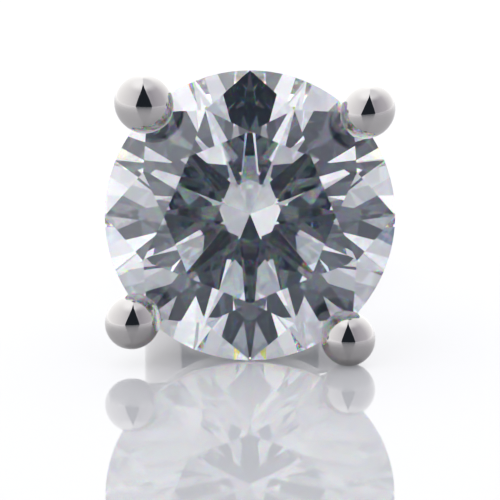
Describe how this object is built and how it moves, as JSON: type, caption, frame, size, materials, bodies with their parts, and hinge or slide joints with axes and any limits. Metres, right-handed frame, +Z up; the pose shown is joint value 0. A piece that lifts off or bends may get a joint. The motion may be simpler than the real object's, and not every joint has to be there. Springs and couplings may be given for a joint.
{
  "type": "stud earring",
  "caption": "Stud earring with a round brilliant stone held by claws in a railed basket, on a straight post with a butterfly back.",
  "frame": {"origin": "on the surface that the earring lies on, under the middle of its bounding box", "axes": "+Z up, +Y from the stone towards the end of the post, +X to the right as the stone is faced; the stone faces -Y and a little up"},
  "size_m": [0.0066, 0.0146, 0.0064],
  "materials": {
    "stone": "polished colourless diamond",
    "setting": "polished white gold",
    "clasp": "polished white gold sheet"
  },
  "bodies": {
    "root": {"stone": "stone", "setting": "setting", "clasp": "clasp"}
  },
  "joints": []
}
